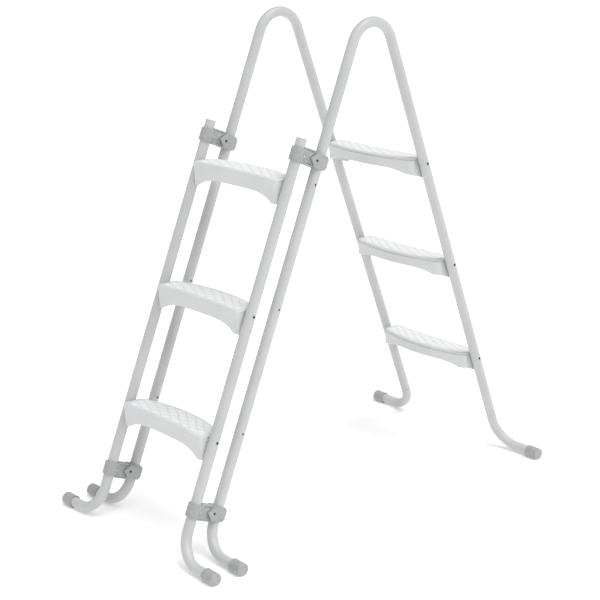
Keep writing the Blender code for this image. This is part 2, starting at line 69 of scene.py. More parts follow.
HOOP_RADIUS = 0.0826
HALF_SPACING = 0.2084       # from the middle of the ladder to each handrail's plane
OUTER_LEAN = math.radians(22.0)
INNER_LEAN = math.radians(21.5)
TUBE_RADIUS = 0.016
TUBE_WALL = 0.0015
FOOT_BEND_RADIUS = 0.088
FOOT_HEIGHT = 0.0185
REMOVABLE_OFFSET = 0.0886   # between the main outer leg and the removable tube
SCREW_HEIGHTS = {"bottom": 0.35, "middle": 0.70, "top": 1.05}
ROW_DROP = 0.002            # the removable tubes' screw rows are this much lower
TOP_LIFT = 0.012            # the top removable step hangs this much above its row
STEP_RISE = 0.016           # from a step's screws up to its tread
TUBE_GAP = 0.0005           # between a step's end and the tube
BRACKET_HEIGHTS = {"bottom": 0.134, "top": 1.200}   # along the leg from the floor
REMOVABLE_TOP = 1.2445      # end of the removable tube, along the leg
FIT_GAP = 0.0003

TUBE_HOLE = 0.0034
SLEEVE_SCREW_HOLE = 0.0022
SLEEVE_SCREW_OFFSET = 0.0090    # sleeve screw beside the removable tube's axis

TUBE_SIDES = 48
HOLE_SIDES = 24
BEND_STEPS = 20
HOOP_STEPS = 48
STRAIGHT_RING = 0.040       # rings along a straight stretch of tube are this far apart
ARC_STEPS = 6
SMALL_ARC_STEPS = 4
OVERSHOOT = 0.010           # how far a cutter runs past what it cuts

SIDES = {"left": -1, "right": 1}
X_AXIS = Vector((1.0, 0.0, 0.0))
Y_AXIS = Vector((0.0, 1.0, 0.0))
Z_AXIS = Vector((0.0, 0.0, 1.0))

# ---- the steps ----------------------------------------------------------------------
STEP_HALF_LENGTH = HALF_SPACING - TUBE_RADIUS - TUBE_GAP
STEP_USER_EDGE = 0.037      # tread edge ahead of the tube, at the step's ends
STEP_WALL_EDGE = 0.037
STEP_USER_BOW = 0.010       # both edges bow towards the pool wall in the middle
STEP_WALL_BOW = 0.033
SKIRT_CORNER = (0.019, 0.010)   # run and depth of a skirt's corner, a quarter ellipse
TREAD_CORNER = (0.024, 0.018)   # the same for the tread's corner on the wall side
STEP_EDGE_ROUND = 0.006     # rounding between tread and user skirt
TREAD_EDGE_ROUND = 0.0035   # rounding between tread and wall-side lip
USER_SKIRT = (0.0475, 0.071)    # skirt height in the middle and at the ends
WALL_SKIRT = (0.037, 0.052)
ARCH_START = 0.060
ARCH_END = 0.168
STEP_WALL = 0.004
STEP_RIB = 0.003
STEP_BAYS = 4
END_BLOCK = 0.020
SKIRT_DRAFT = 0.002
SKIRT_HEM = 0.0012          # rounding along a skirt's lower edge
END_ROUND = (0.0014, 0.0014)    # rounding of the tread over the step's ends
LIP_TOP = 0.0056            # the shadow line under the tread's wall edge
LIP_BOTTOM = 0.0072
LIP_DEPTH = 0.0018
SCREW_HOLE = 0.0031
CORE_WALL = 0.0035          # walls round the cored-out pockets of an end block
CORE_BOSS = 0.0080          # material left each side of the screw

CORE_REACH = 0.027          # outer side of the end block's pockets
CORE_TOP = -0.0125
CORE_CORNER = 0.002

WAVE_ROWS = 6               # wavy grooves along the tread, with anti-slip pads between
WAVE_PITCH = 0.0145         # groove spacing in the middle of the tread
WAVE_LENGTH = 0.048
WAVE_SWING = 0.0040
WAVE_HALF_WIDTH = 0.0029
WAVE_MARGIN = 0.010         # plain border round the pads
PAD_HEIGHT = 0.0014

STATION_STEP = 0.0032       # along the step
END_STATIONS = 14
BAY_STATIONS = 12
TREAD_COLUMNS = 76
SKIRT_ROWS = 8

# ---- caps and plugs -----------------------------------------------------------------
CAP_RADIUS = 0.0198
CAP_LIP_RADIUS = 0.0205
CAP_LIP_WIDTH = 0.0055
CAP_LENGTH = 0.045
CAP_END = 0.003
CAP_ROUND = 0.003
CAP_BORE = 0.0166
CAP_DISH = 0.0125           # shallow dish in the cap's end face
CAP_DISH_DEPTH = 0.0008
CAP_SIDES = 64
PLUG_HEAD = 0.0022
PLUG_ROUND = 0.0010
PLUG_DEPTH = 0.016
PLUG_DISH = 0.0110
PLUG_DISH_DEPTH = 0.0005

# ---- docking brackets and fasteners -------------------------------------------------
BORE = 0.0166
BOSS_RADIUS = 0.0215
BOSS_HALF_HEIGHT = 0.020
BOSS_ROUND = 0.0012
WEB_FRONT = 0.013
WEB_BACK = 0.011
WEB_CHAMFER = 0.0035
WEB_TIGHT_HEIGHT = 0.0265
WEB_LOOSE_HEIGHT = 0.0222
PANEL_RIM = 0.0040
PANEL_SPINE = 0.0045
PANEL_DEPTH = 0.0013
PANEL_APEX = 0.3            # the panels' ends by the pocket, in rims from its edge
PANEL_MOUTH = 1.6
COLLAR_HALF_DEPTH = 0.0195
COLLAR_HALF_HEIGHT = 0.0222
COLLAR_BACK = 0.0205
COLLAR_CHAMFER = 0.008
NOSE_TIP = 0.0480
NOSE_ROOT = 0.0262
NOSE_LIFT = 0.0008
POCKET_GAP = 0.0018
POCKET_WIDE_GAP = 0.0040
COLLAR_SPLIT = 0.0002
COLLAR_BOLT_AT = 0.0225
COUNTERBORE = 0.0045
COUNTERBORE_FLOOR = 0.0125
COLLAR_BOLT_RADIUS = 0.0020
COLLAR_BOLT_HOLE = 0.0024
COLLAR_BOLT_HEAD = 0.0041
COLLAR_BOLT_HEAD_HEIGHT = 0.0035
COLLAR_BOLT_TAIL = 0.0015
BOLT_RIM = 0.0005
BOLT_SOCKET = 0.0021
SOCKET_FLOOR = 0.35         # share of the bolt's head left under its socket
NUT_FLATS = 0.0070
NUT_HEIGHT = 0.0032
NUT_POCKET_FLOOR = 0.0135
SLEEVE_SCREW_RADIUS = 0.0018
SLEEVE_SCREW_HEAD = 0.0040
SLEEVE_SCREW_DOME = 0.0022
SLEEVE_SCREW_PAD = 0.0055
SLEEVE_SCREW_SEAT = 0.0213
SLEEVE_SCREW_END = 0.0095
TONGUE = (0.040, 0.0545)    # tongue on the collar, ahead of the main leg
TONGUE_HALF_HEIGHT = 0.004
TONGUE_SIDES = (-0.0070, -0.0010)
TONGUE_CLEARANCE = 0.0007
BRACKET_ROUND = 0.0010
BORE_LIP = 0.0005
PAD_ROUND = 0.0008
SCREW_RADIUS = 0.0027
SCREW_HEAD = 0.0038
SCREW_DOME = 0.0024
SCREW_BITE = 0.017          # how far a screw enters the step
HIDDEN_SCREW_REACH = 0.007  # how far the top step's screws enter the removable tube
SCREW_SIDES = 32
THREAD_PITCH = 0.0014
THREAD_TIP = 0.55           # share of the shank's radius
THREAD_ROOT = 0.8
THREAD_CREST = (0.25, 0.75)     # where a crest starts and ends, in pitches
DOME_STEPS = 8
DOME_REACH = 80             # degrees of arc in a screw's dome
DOME_RIM = 0.25             # straight rim of a dome, as a share of its height
RECESS_BLADE = 0.17         # half width of a cross recess's blade, as a share of the head
RECESS_REACH = 0.58
RECESS_TAPER = 0.55
RECESS_DEPTH = 0.75

# ---- shading: an edge steeper than this many degrees is shown as an edge ------------
PLAIN_SHARP = 32
TREAD_SHARP = 50
SOFTENED_SHARP = 50
FASTENER_SHARP = 40
NUT_SHARP = 20

# ---- camera, light and floor --------------------------------------------------------
CAMERA_PLACE = (3.330, -3.020, 1.954)
CAMERA_TILT = math.radians(73.43)
CAMERA_TURN = math.radians(48.2)
CAMERA_LENS = 88.8          # millimetres on a 36 mm sensor
CAMERA_REACH = 200.0
FLOOR_HALF = 40.0
WORLD_STRENGTH = 0.60
FLOOR_GLOW = 0.22           # the white floor glows a little, so shadows stay faint
KEY_FROM = (1.1, 0.3, 2.6)  # direction towards the soft key light
KEY_SPREAD = math.radians(40)
KEY_STRENGTH = 1.90


# ---- mesh helpers -------------------------------------------------------------------
def to_object(name, bm, material, sharp_degrees=PLAIN_SHARP):
    """A new object that shows a bmesh, smooth except across sharp edges."""
    bmesh.ops.recalc_face_normals(bm, faces=bm.faces)
    mesh = bpy.data.meshes.new(name)
    bm.to_mesh(mesh)
    bm.free()
    mesh.shade_smooth()
    mesh.set_sharp_from_angle(angle=math.radians(sharp_degrees))
    if material:
        mesh.materials.append(material)
    obj = bpy.data.objects.new(name, mesh)
    bpy.context.scene.collection.objects.link(obj)
    return obj


def settle(obj, sharp_degrees=PLAIN_SHARP):
    """Applies an object's modifiers to its mesh."""
    graph = bpy.context.evaluated_depsgraph_get()
    mesh = bpy.data.meshes.new_from_object(obj.evaluated_get(graph))
    mesh.name = obj.name
    mesh.shade_smooth()
    mesh.set_sharp_from_angle(angle=math.radians(sharp_degrees))
    obj.modifiers.clear()
    obj.data = mesh


def carve(obj, bm, operation="DIFFERENCE"):
    """Cuts or joins a bmesh into an object that still sits at the origin."""
    tool = to_object("tool", bm, None)
    modifier = obj.modifiers.new("carve", "BOOLEAN")
    modifier.operation = operation
    modifier.solver = "EXACT"
    modifier.object = tool
    settle(obj)
    bpy.data.objects.remove(tool, do_unlink=True)


def soften(obj, width, segments=3, degrees=40):
    """Rounds an object's hard edges and keeps its flats looking flat."""
    bevel = obj.modifiers.new("soften", "BEVEL")
    bevel.width = width
    bevel.segments = segments
    bevel.limit_method = "ANGLE"
    bevel.angle_limit = math.radians(degrees)
    bevel.use_clamp_overlap = True
    settle(obj, SOFTENED_SHARP)
    weights = obj.modifiers.new("flats", "WEIGHTED_NORMAL")
    weights.keep_sharp = True
    graph = bpy.context.evaluated_depsgraph_get()
    mesh = bpy.data.meshes.new_from_object(obj.evaluated_get(graph))
    obj.modifiers.clear()
    obj.data = mesh


def ring_loft(bm, rings):
    """Skins a list of vertex rings with quads."""
    for first, second in zip(rings, rings[1:]):
        count = len(first)
        for i in range(count):
            j = (i + 1) % count
            bm.faces.new((first[i], first[j], second[j], second[i]))


def solid_loft(bm, outlines):
    """A closed solid through several outlines with the same number of points."""
    rings = [[bm.verts.new(point) for point in outline] for outline in outlines]
    ring_loft(bm, rings)
    bm.faces.new(rings[0])
    bm.faces.new(rings[-1])


def prism(bm, outline, x_low, x_high):
    """Extrudes an outline of (y, z) points along X."""
    solid_loft(bm, [[(x, y, z) for y, z in outline] for x in (x_low, x_high)])


def box(bm, low, high):
    outline = [(low[1], low[2]), (high[1], low[2]), (high[1], high[2]), (low[1], high[2])]
    prism(bm, outline, low[0], high[0])


def disc_points(centre, across, up, radius, sides):
    turn = 2 * math.pi / sides
    return [centre + radius * (math.cos((i + 0.5) * turn) * across
                               + math.sin((i + 0.5) * turn) * up) for i in range(sides)]


def turned(bm, start, axis, profile, sides=TUBE_SIDES):
    """A closed solid of revolution: profile holds (distance along axis, radius)."""
    across = axis.orthogonal().normalized()
    up = axis.cross(across)
    solid_loft(bm, [disc_points(start + axis * along, across, up, radius, sides)
                    for along, radius in profile])


def rod(bm, start, axis, length, radius, sides=TUBE_SIDES):
    turned(bm, start, axis, [(0.0, radius), (length, radius)], sides)


def arc(centre, radius, first, last, steps=ARC_STEPS):
    """(along, across) points on an arc; the angles are in degrees."""
    points = []
    for i in range(steps + 1):
        angle = math.radians(first + (last - first) * i / steps)
        points.append((centre[0] + radius * math.cos(angle),
                       centre[1] + radius * math.sin(angle)))
    return points


# ---- leg geometry -------------------------------------------------------------------
class Leg:
    """Centre line of one leg: its foot point on the floor and its directions."""

    apex_y = 0.0    # where the hoops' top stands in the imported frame

    def __init__(self, side, kind):
        self.side = SIDES[side]
        self.kind = kind
        self.lean = INNER_LEAN if kind == "inner" else OUTER_LEAN
        outward = 1 if kind == "inner" else -1
        self.up = Vector((0, -outward * math.sin(self.lean), math.cos(self.lean)))
        self.out = Vector((0, outward * math.cos(self.lean), math.sin(self.lean)))
        self.hoop = Vector((self.side * HALF_SPACING, Leg.apex_y, HOOP_TOP - HOOP_RADIUS))
        self.tangent = self.hoop + self.out * HOOP_RADIUS
        self.foot = self.tangent - self.up * (self.tangent.z / math.cos(self.lean))
        if kind == "removable":
            self.foot += self.out * REMOVABLE_OFFSET

    def along(self, distance):
        return self.foot + self.up * distance

    def at_height(self, height):
        return self.along((height - self.foot.z) / math.cos(self.lean))

    def bend_start(self):
        return self.at_height(FOOT_HEIGHT + FOOT_BEND_RADIUS * math.cos(self.lean))

    def foot_end(self):
        """Centre of the curve's end, where the foot turns level."""
        sideways = X_AXIS * self.side
        return self.bend_start() + FOOT_BEND_RADIUS * (sideways - self.up)

    def foot_path(self, end_x):
        """(point, direction) pairs from the capped end up to the start of the leg."""
        sideways = X_AXIS * self.side
        centre = self.bend_start() + sideways * FOOT_BEND_RADIUS
        path = []
        for i in range(BEND_STEPS + 1):
            angle = math.pi / 2 * (1 - i / BEND_STEPS)
            point = centre - FOOT_BEND_RADIUS * (sideways * math.cos(angle)
                                                 + self.up * math.sin(angle))
            path.append((point, self.up * math.cos(angle) - sideways * math.sin(angle)))
        end = path[0][0].copy()
        end.x = end_x
        return [(end, -sideways)] + path


def find_apex():
    """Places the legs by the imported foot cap, which is centred on its tube."""
    low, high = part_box("foot_cap_outer_right")
    Leg.apex_y = (low.y + high.y) / 2 - Leg("right", "outer").foot_end().y


def straight(start, end):
    """(point, direction) pairs along a straight stretch, without its two ends."""
    run = end - start
    count = max(int(run.length / STRAIGHT_RING), 2)
    direction = run.normalized()
    return [(start + run * i / count, direction) for i in range(1, count)]


def hoop_path(side):
    """(point, direction) pairs over the top bend, from the outer to the inner leg."""
    first = math.pi - OUTER_LEAN
    last = INNER_LEAN
    centre = Leg(side, "outer").hoop
    path = []
    for i in range(HOOP_STEPS + 1):
        angle = first + (last - first) * i / HOOP_STEPS
        spoke = Vector((0, math.cos(angle), math.sin(angle)))
        path.append((centre + spoke * HOOP_RADIUS, Vector((0, spoke.z, -spoke.y))))
    return path


def tube_rings(bm, path, radius):
    """Rings of vertices round a path, carried along it without twist."""
    across = path[0][1].orthogonal().normalized()
    previous = path[0][1]
    rings = []
    for point, direction in path:
        across = previous.rotation_difference(direction) @ across
        previous = direction
        up = direction.cross(across)
        points = disc_points(point, across, up, radius, TUBE_SIDES)
        rings.append([bm.verts.new(p) for p in points])
    return rings


def open_tube(path):
    """A hollow tube, open at both ends."""
    bm = bmesh.new()
    outer = tube_rings(bm, path, TUBE_RADIUS)
    inner = tube_rings(bm, path, TUBE_RADIUS - TUBE_WALL)
    ring_loft(bm, outer)
    ring_loft(bm, inner)
    for end in (0, -1):
        ring_loft(bm, [outer[end], inner[end]])
    return bm


def screw_height(kind, level):
    """Height of a step's screws, which the main outer legs' spare holes share."""
    if kind != "removable":
        return SCREW_HEIGHTS[level]
    lift = TOP_LIFT if level == "top" else 0.0
    return SCREW_HEIGHTS[level] - ROW_DROP + lift


def stand_in(obj, node, place=None, lean=0.0, turn=0.0):
    """Puts a finished piece in place and lets it stand for its CAD node."""
    if place is not None:
        obj.location = place
        obj.rotation_euler = (lean, 0.0, turn)
    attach(obj, frame["nodes"][node]["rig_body"])
    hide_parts(node)


def copy_of(pattern, name):
    """Another object that shows a pattern's mesh."""
    obj = bpy.data.objects.new(name, pattern.data)
    bpy.context.scene.collection.objects.link(obj)
    return obj


def finished(node):
    return node + "_finished"


# ---- tubes, plugs and caps ----------------------------------------------------------
def cap_end_x(side, kind):
    """The outermost x of a packed foot cap."""
    low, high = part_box(f"foot_cap_{kind}_{side}")
    return high.x if SIDES[side] > 0 else low.x


def tube_end_x(side, kind):
    return cap_end_x(side, kind) - SIDES[side] * (CAP_END + FIT_GAP)


def make_handrail(side, material):
    outer, inner = Leg(side, "outer"), Leg(side, "inner")
    rising = outer.foot_path(tube_end_x(side, "outer"))
    climbing = inner.foot_path(tube_end_x(side, "inner"))
    falling = [(point, -way) for point, way in reversed(climbing)]
    path = rising + straight(rising[-1][0], outer.tangent) + hoop_path(side)
    path += straight(inner.tangent, falling[0][0]) + falling
    node = f"handrail_{side}"
    rail = to_object(finished(node), open_tube(path), material)
    reach = TUBE_RADIUS + OVERSHOOT
    holes = bmesh.new()
    for leg in (outer, inner):
        for height in SCREW_HEIGHTS.values():
            start = leg.at_height(height) - X_AXIS * reach
            rod(holes, start, X_AXIS, 2 * reach, TUBE_HOLE, HOLE_SIDES)
    carve(rail, holes)
    stand_in(rail, node)


def make_removable_tube(side, material):
    leg = Leg(side, "removable")
    path = leg.foot_path(tube_end_x(side, "removable"))
    top = leg.along(REMOVABLE_TOP)
    path += straight(path[-1][0], top) + [(top, leg.up)]
    node = f"removable_tube_{side}"
    tube = to_object(finished(node), open_tube(path), material)
    holes = bmesh.new()
    reach = TUBE_RADIUS + OVERSHOOT
    for level in ("bottom", "middle"):
        at = leg.at_height(screw_height("removable", level))
        rod(holes, at - X_AXIS * reach, X_AXIS, 2 * reach, TUBE_HOLE, HOLE_SIDES)
    at = leg.at_height(screw_height("removable", "top"))
    rod(holes, at, -X_AXIS * leg.side, reach, TUBE_HOLE, HOLE_SIDES)
    for distance in BRACKET_HEIGHTS.values():
        at = leg.along(distance) - leg.out * SLEEVE_SCREW_OFFSET
        rod(holes, at, X_AXIS, reach, SLEEVE_SCREW_HOLE, HOLE_SIDES)
    carve(tube, holes)
    stand_in(tube, node)


def make_plug(side, material):
    """Push-in plug that closes the top of a removable tube."""
    leg = Leg(side, "removable")
    stub = TUBE_RADIUS - TUBE_WALL - 2 * FIT_GAP
    rim = arc((PLUG_HEAD - PLUG_ROUND, TUBE_RADIUS - PLUG_ROUND), PLUG_ROUND, 90, 0)
    profile = [(-PLUG_DEPTH, stub - PLUG_ROUND), (-PLUG_DEPTH + PLUG_ROUND, stub),
               (FIT_GAP, stub), (FIT_GAP, TUBE_RADIUS)] + rim
    profile += [(PLUG_HEAD, PLUG_DISH), (PLUG_HEAD - PLUG_DISH_DEPTH, PLUG_DISH - PLUG_ROUND)]
    bm = bmesh.new()
    turned(bm, leg.along(REMOVABLE_TOP), leg.up, profile)
    node = f"tube_plug_{side}"
    stand_in(to_object(finished(node), bm, material), node)


def make_foot_cap(side, kind, material):
    """Moulded cup over a foot's end, with a rolled lip and a flat underside."""
    leg = Leg(side, kind)
    end = leg.foot_end()
    inward = -X_AXIS * leg.side
    start = Vector((cap_end_x(side, kind), end.y, end.z))
    outer = [(CAP_DISH_DEPTH, CAP_DISH - CAP_DISH_DEPTH), (0.0, CAP_DISH)]
    outer += arc((CAP_ROUND, CAP_RADIUS - CAP_ROUND), CAP_ROUND, 180, 90)
    lip = CAP_LIP_RADIUS - CAP_RADIUS
    outer += [(CAP_LENGTH - CAP_LIP_WIDTH, CAP_RADIUS),
              (CAP_LENGTH - CAP_LIP_WIDTH + lip, CAP_LIP_RADIUS)]
    outer += arc((CAP_LENGTH - lip, CAP_LIP_RADIUS - lip), lip, 90, 0)
    inner = [(CAP_LENGTH, CAP_BORE + FIT_GAP), (CAP_LENGTH - lip, CAP_BORE), (CAP_END, CAP_BORE)]
    bm = bmesh.new()
    rings = []
    for along, radius in outer + inner:
        points = disc_points(start + inward * along, Y_AXIS, Z_AXIS, radius, CAP_SIDES)
        rings.append([bm.verts.new((p.x, p.y, max(p.z, 0.0))) for p in points])
    ring_loft(bm, rings)
    bm.faces.new(rings[0])
    bm.faces.new(rings[-1])
    node = f"foot_cap_{kind}_{side}"
    stand_in(to_object(finished(node), bm, material), node)


# ---- steps --------------------------------------------------------------------------
def bow(x):
    return 1 - (x / STEP_HALF_LENGTH) ** 2


def corner_inset(x, corner):
    """How far a corner, given by its run and depth, pulls an edge in at one station."""
    run, depth = corner
    share = max(abs(x) - STEP_HALF_LENGTH + run, 0.0) / run
    return depth * (1 - math.sqrt(max(1 - share ** 2, 0.0)))


def skirt_depth(x, depths):
    """Depth of a skirt below the tread: an arch that drops to the end blocks."""
    middle, ends = depths
    t = min(max((abs(x) - ARCH_START) / (ARCH_END - ARCH_START), 0.0), 1.0)
    return middle + (ends - middle) * t ** 3


def user_edge(x):
    return -STEP_USER_EDGE + STEP_USER_BOW * bow(x)


def wall_edge(x):
    return STEP_WALL_EDGE + STEP_WALL_BOW * bow(x)


def wave_relief(x, y, low, high):
    """Height of the anti-slip pads at one point between the tread's edges."""
    border = STEP_HALF_LENGTH - WAVE_MARGIN - abs(x)
    fade = min(max(border / WAVE_MARGIN, 0.0), 1.0)
    pitch = (high - low) / WAVE_ROWS
    scale = pitch / WAVE_PITCH
    deepest = 0.0
    for row in range(WAVE_ROWS):
        swing = WAVE_SWING * scale * math.sin(2 * math.pi * x / WAVE_LENGTH + math.pi * row)
        off = abs(y - (low + pitch * (row + 0.5) + swing)) / (WAVE_HALF_WIDTH * scale)
        if off < 1:
            deepest = max(deepest, math.cos(math.pi / 2 * off) ** 2)
    rim = min(y - low, high - y) / WAVE_MARGIN
    return PAD_HEIGHT * fade * min(rim, 1.0) * (1 - deepest)


def straight_rows(start, end, rows=SKIRT_ROWS):
    """Points between two points, without the two."""
    return [(start[0] + (end[0] - start[0]) * i / rows, start[1] + (end[1] - start[1]) * i / rows)
            for i in range(1, rows)]


def step_outline(x):
    """Outline of the step across its tread at one station, user side at -Y."""
    drop = corner_inset(x, END_ROUND)
    user = user_edge(x) + corner_inset(x, SKIRT_CORNER)
    skirt = wall_edge(x) - corner_inset(x, SKIRT_CORNER)
    tread = wall_edge(x) - corner_inset(x, TREAD_CORNER)
    user_low = -skirt_depth(x, USER_SKIRT)
    wall_low = -skirt_depth(x, WALL_SKIRT)
    hem = SKIRT_HEM
    points = arc((user + SKIRT_DRAFT + hem, user_low + hem), hem, 270, 180)
    points += straight_rows(points[-1], (user, -STEP_EDGE_ROUND))
    points += arc((user + STEP_EDGE_ROUND, -STEP_EDGE_ROUND - drop), STEP_EDGE_ROUND, 180, 90)
    low = user + STEP_EDGE_ROUND
    high = tread - TREAD_EDGE_ROUND
    for i in range(1, TREAD_COLUMNS):
        y = low + (high - low) * i / TREAD_COLUMNS
        points.append((y, wave_relief(x, y, low, high) - drop))
    points += arc((high, -TREAD_EDGE_ROUND - drop), TREAD_EDGE_ROUND, 90, 0)
    points += [(tread, -LIP_TOP), (tread - LIP_DEPTH, -LIP_TOP), (tread - LIP_DEPTH, -LIP_BOTTOM)]
    points += arc((skirt - hem, -LIP_BOTTOM - hem), hem, 90, 0)
    wall_hem = (skirt - SKIRT_DRAFT - hem, wall_low + hem)
    points += straight_rows(points[-1], (wall_hem[0] + hem, wall_hem[1]))
    points += arc(wall_hem, hem, 0, -90)
    return [(x, y, z) for y, z in points]


def step_stations():
    """Stations along a step, close together where its ends turn."""
    half = STEP_HALF_LENGTH
    near_end = [half - TREAD_CORNER[0] * (1 - math.cos(math.pi / 2 * i / END_STATIONS))
                for i in range(END_STATIONS + 1)]
    count = math.ceil(2 * near_end[-1] / STATION_STEP)
    middle = [-near_end[-1] + 2 * near_end[-1] * i / count for i in range(1, count)]
    return [-x for x in near_end] + middle + list(reversed(near_end))


def bay_outline(x):
    """Outline of the hollow under the tread at one station."""
    user = user_edge(x) + STEP_WALL
    wall = wall_edge(x) - STEP_WALL
    fillet = STEP_WALL
    points = [(user + SKIRT_DRAFT, -skirt_depth(x, USER_SKIRT) - OVERSHOOT)]
    points += arc((user + fillet, -STEP_WALL - fillet), fillet, 180, 90, SMALL_ARC_STEPS)
    points += arc((wall - fillet, -STEP_WALL - fillet), fillet, 90, 0, SMALL_ARC_STEPS)
    points.append((wall - SKIRT_DRAFT, -skirt_depth(x, WALL_SKIRT) - OVERSHOOT))
    return [(x, y, z) for y, z in points]


def pocket(bm, low, high, bottom, top):
    """A cored-out pocket with round corners between two (x, y) points."""
    r = CORE_CORNER
    corners = [(high[0] - r, high[1] - r, 0), (low[0] + r, high[1] - r, 90),
               (low[0] + r, low[1] + r, 180), (high[0] - r, low[1] + r, 270)]
    outline = []
    for x, y, first in corners:
        outline += arc((x, y), r, first, first + 90, SMALL_ARC_STEPS)
    solid_loft(bm, [[(x, y, z) for x, y in outline] for z in (bottom, top)])


def step_pattern(material):
    """The mesh that all six steps share, built at the screw line of its tube."""
    shell = bmesh.new()
    solid_loft(shell, [step_outline(x) for x in step_stations()])
    step = to_object("step_pattern", shell, material, TREAD_SHARP)
    hollow = bmesh.new()
    reach = STEP_HALF_LENGTH - END_BLOCK
    bay = (2 * reach - (STEP_BAYS - 1) * STEP_RIB) / STEP_BAYS
    for i in range(STEP_BAYS):
        low = -reach + i * (bay + STEP_RIB)
        solid_loft(hollow, [bay_outline(low + bay * k / BAY_STATIONS)
                            for k in range(BAY_STATIONS + 1)])
    below = -USER_SKIRT[1] - OVERSHOOT
    for sign in (-1, 1):
        ends = sorted((sign * (reach + CORE_WALL), sign * (STEP_HALF_LENGTH - CORE_WALL)))
        spans = ((-CORE_REACH, -CORE_BOSS), (CORE_BOSS, CORE_REACH))
        for near, far in spans:
            pocket(hollow, (ends[0], near), (ends[1], far), below, CORE_TOP)
        shadow = sorted((sign * (STEP_HALF_LENGTH - LIP_DEPTH / 2),
                         sign * (STEP_HALF_LENGTH + OVERSHOOT)))
        box(hollow, (shadow[0], -STEP_USER_EDGE - OVERSHOOT, -LIP_BOTTOM),
            (shadow[1], STEP_WALL_EDGE + OVERSHOOT, -LIP_TOP))
    carve_step(step, hollow)
    holes = bmesh.new()
    for sign in (-1, 1):
        start = Vector((sign * (STEP_HALF_LENGTH + OVERSHOOT), 0, -STEP_RISE))
        rod(holes, start, -X_AXIS * sign, END_BLOCK + 2 * OVERSHOOT, SCREW_HOLE, HOLE_SIDES)
    carve_step(step, holes)
    return step


def carve_step(step, bm):
    carve(step, bm)
    step.data.shade_smooth()
    step.data.set_sharp_from_angle(angle=math.radians(TREAD_SHARP))


def make_steps(material):
    pattern = step_pattern(material)
    for kind, family in (("inner", "inner"), ("removable", "outer")):
        for level in SCREW_HEIGHTS:
            node = f"step_{family}_{level}"
            axis = Leg("right", kind).at_height(screw_height(kind, level))
            turn = math.pi if kind == "inner" else 0.0
            step = copy_of(pattern, finished(node))
            stand_in(step, node, (0, axis.y, axis.z + STEP_RISE), turn=turn)
    bpy.data.objects.remove(pattern, do_unlink=True)


# ---- fasteners ----------------------------------------------------------------------
# Every fastener is built along +X with its head seat at the stated distance.
def dome(seat, height, radius):
    """Profile points of a domed head with a soft rim."""
    rim = height * DOME_RIM
    points = [(seat, radius), (seat + rim, radius)]
    for i in range(1, DOME_STEPS + 1):
        angle = math.radians(DOME_REACH) * i / DOME_STEPS
        points.append((seat + rim + (height - rim) * math.sin(angle), radius * math.cos(angle)))
    return points


def threaded(start, end, radius, pitch):
    """Profile of a thread's crests and roots from its tip to its neck."""
    root = radius * THREAD_ROOT
    crest_start, crest_end = THREAD_CREST
    points = [(start, radius * THREAD_TIP), (start + pitch, root)]
    along = start + pitch
    while along + pitch < end:
        points += [(along + pitch * crest_start, radius), (along + pitch * crest_end, root)]
        along += pitch
    return points + [(end, root)]


def cross_screw(name, tip, seat, shank, height, radius, material):
    """A domed screw with a thread and a cross recess."""
    bm = bmesh.new()
    profile = threaded(tip, seat, shank, THREAD_PITCH) + dome(seat, height, radius)
    turned(bm, Vector(), X_AXIS, profile, SCREW_SIDES)
    screw = to_object(name, bm, material, FASTENER_SHARP)
    for turn in (0, 1):
        blade = bmesh.new()
        cross_recess_blade(blade, seat + height, height * RECESS_DEPTH, radius, turn)
        carve(screw, blade)
    return screw


def cross_recess_blade(bm, top, depth, radius, turn):
    """One tapered blade of a cross recess; turn 1 crosses turn 0."""
    half = radius * RECESS_BLADE
    reach = radius * RECESS_REACH
    across, along = (half, reach) if turn == 0 else (reach, half)
    outlines = []
    for x, share in ((top - depth, RECESS_TAPER), (top + OVERSHOOT, 1.0)):
        outlines.append([(x, y * across * share, z * along * share)
                         for y, z in ((-1, -1), (1, -1), (1, 1), (-1, 1))])
    solid_loft(bm, outlines)


def make_step_screws(material):
    through = cross_screw("through_screw", -(TUBE_RADIUS + TUBE_GAP + SCREW_BITE),
                          TUBE_RADIUS + FIT_GAP, SCREW_RADIUS, SCREW_DOME, SCREW_HEAD, material)
    inside = cross_screw("inside_screw", HIDDEN_SCREW_REACH,
                         TUBE_RADIUS + TUBE_GAP + END_BLOCK + FIT_GAP,
                         SCREW_RADIUS, SCREW_DOME, SCREW_HEAD, material)
    for side, sign in SIDES.items():
        for kind, family in (("inner", "inner"), ("removable", "outer")):
            for level in SCREW_HEIGHTS:
                hidden = kind == "removable" and level == "top"
                node = f"step_screw_{family}_{level}_{side}"
                screw = copy_of(inside if hidden else through, finished(node))
                outboard = -sign if hidden else sign
                at = Leg(side, kind).at_height(screw_height(kind, level))
                stand_in(screw, node, at, turn=0.0 if outboard > 0 else math.pi)
    for pattern in (through, inside):
        bpy.data.objects.remove(pattern, do_unlink=True)


def hexagon(centre, half_flats):
    """Corners of a hexagon across the X axis."""
    corner = half_flats / math.cos(math.pi / 6)
    return disc_points(centre, Y_AXIS, Z_AXIS, corner, 6)


